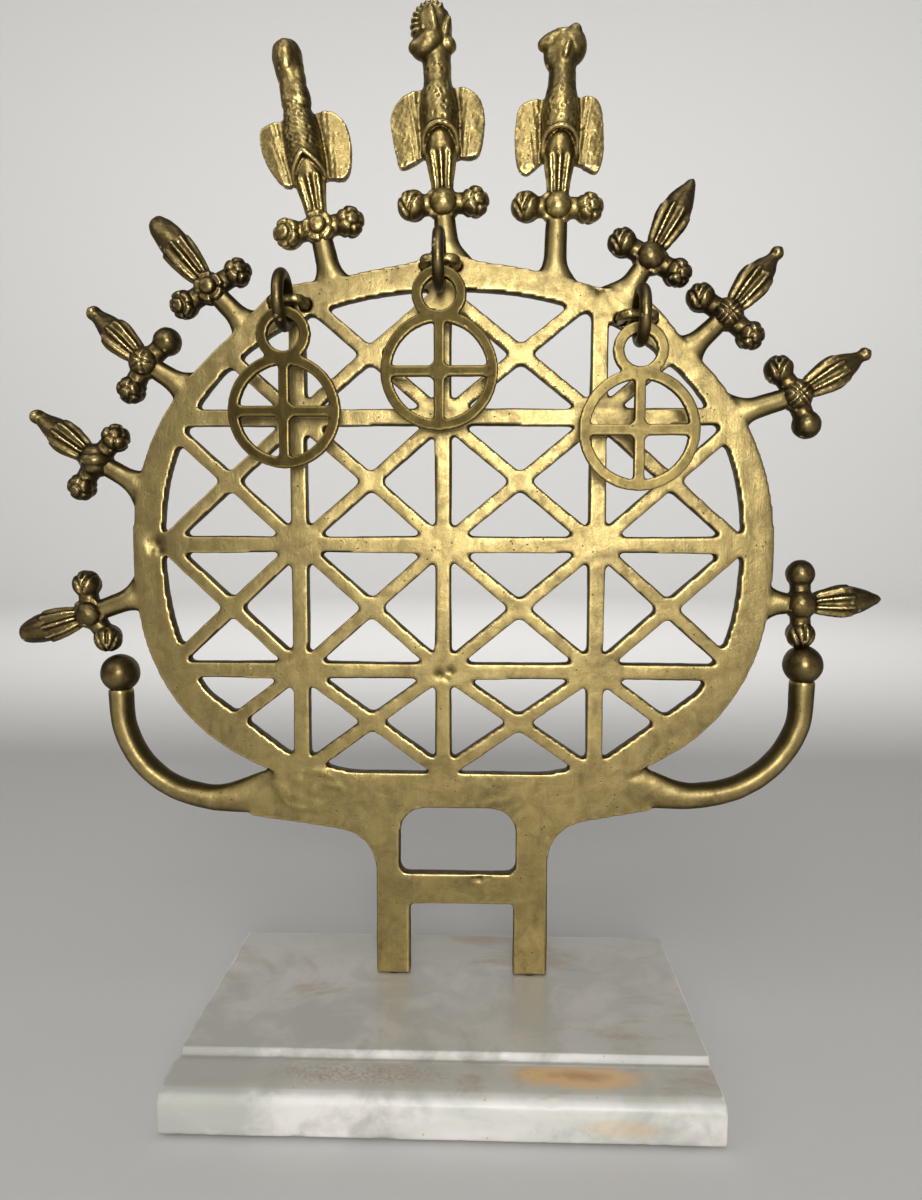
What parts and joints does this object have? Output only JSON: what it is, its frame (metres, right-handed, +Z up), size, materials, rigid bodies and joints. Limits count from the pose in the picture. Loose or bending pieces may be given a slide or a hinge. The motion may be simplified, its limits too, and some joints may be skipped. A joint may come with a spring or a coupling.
{
  "type": "openwork sun disc standard",
  "caption": "Cast brass openwork sun disc with bird and bud finials, curved horns and hung wheel pendants, on two feet over a stepped onyx base.",
  "frame": {"origin": "middle of the whole object's box, on the surface it stands on", "axes": "+X to the viewer's right across the disc, +Y to the back, +Z up"},
  "size_m": [0.2972, 0.096, 0.3413],
  "materials": {
    "polished_brass": "rubbed brass, bright on the flats and olive brown in the recesses",
    "dark_brass": "unpolished cast brass with brown patina and bright high spots",
    "onyx": "semi-polished pale onyx with grey green bands and rust stains",
    "felt": "dark green baize",
    "steel": "plain zinc plated steel"
  },
  "bodies": {
    "standard": {"base_felt": "felt", "onyx_base": "onyx", "foot_screw_left": "steel", "foot_screw_right": "steel", "washer_left": "steel", "washer_right": "steel", "leg_yoke": "polished_brass", "sun_disc": "polished_brass", "horn_left": "polished_brass", "horn_right": "polished_brass", "horn_knob_left": "polished_brass", "horn_knob_right": "polished_brass", "bud_left_1": "dark_brass", "bud_left_2": "dark_brass", "bud_left_3": "dark_brass", "bud_left_4": "dark_brass", "bud_right_1": "dark_brass", "bud_right_2": "dark_brass", "bud_right_3": "dark_brass", "bud_right_4": "dark_brass", "bird_left": "dark_brass", "bird_middle": "dark_brass", "bird_right": "dark_brass", "staple_left": "polished_brass", "staple_middle": "polished_brass", "staple_right": "polished_brass"},
    "left_ring": {"ring_left": "dark_brass"},
    "left_pendant": {"pendant_left": "polished_brass"},
    "middle_ring": {"ring_middle": "dark_brass"},
    "middle_pendant": {"pendant_middle": "polished_brass"},
    "right_ring": {"ring_right": "dark_brass"},
    "right_pendant": {"pendant_right": "polished_brass"}
  },
  "joints": [
    {"name": "left_ring_lift", "type": "hinge", "parent": "standard", "child": "left_ring", "pos_m": [-0.05105, 0.0113, 0.2461], "axis": [-1, 0, 0], "range_deg": [0, 40]},
    {"name": "left_pendant_swing", "type": "hinge", "parent": "left_ring", "child": "left_pendant", "pos_m": [-0.05105, 0.0076, 0.2369], "axis": [0, 1, 0], "range_deg": [-12, 60]},
    {"name": "middle_ring_lift", "type": "hinge", "parent": "standard", "child": "middle_ring", "pos_m": [-0.00075, 0.0113, 0.2585], "axis": [-1, 0, 0], "range_deg": [0, 40]},
    {"name": "middle_pendant_swing", "type": "hinge", "parent": "middle_ring", "child": "middle_pendant", "pos_m": [-0.00075, 0.0076, 0.2493], "axis": [0, 1, 0], "range_deg": [-15, 15]},
    {"name": "right_ring_lift", "type": "hinge", "parent": "standard", "child": "right_ring", "pos_m": [0.06365, 0.0113, 0.2407], "axis": [-1, 0, 0], "range_deg": [0, 40]},
    {"name": "right_pendant_swing", "type": "hinge", "parent": "right_ring", "child": "right_pendant", "pos_m": [0.06365, 0.0076, 0.2315], "axis": [0, 1, 0], "range_deg": [-60, 35]}
  ]
}
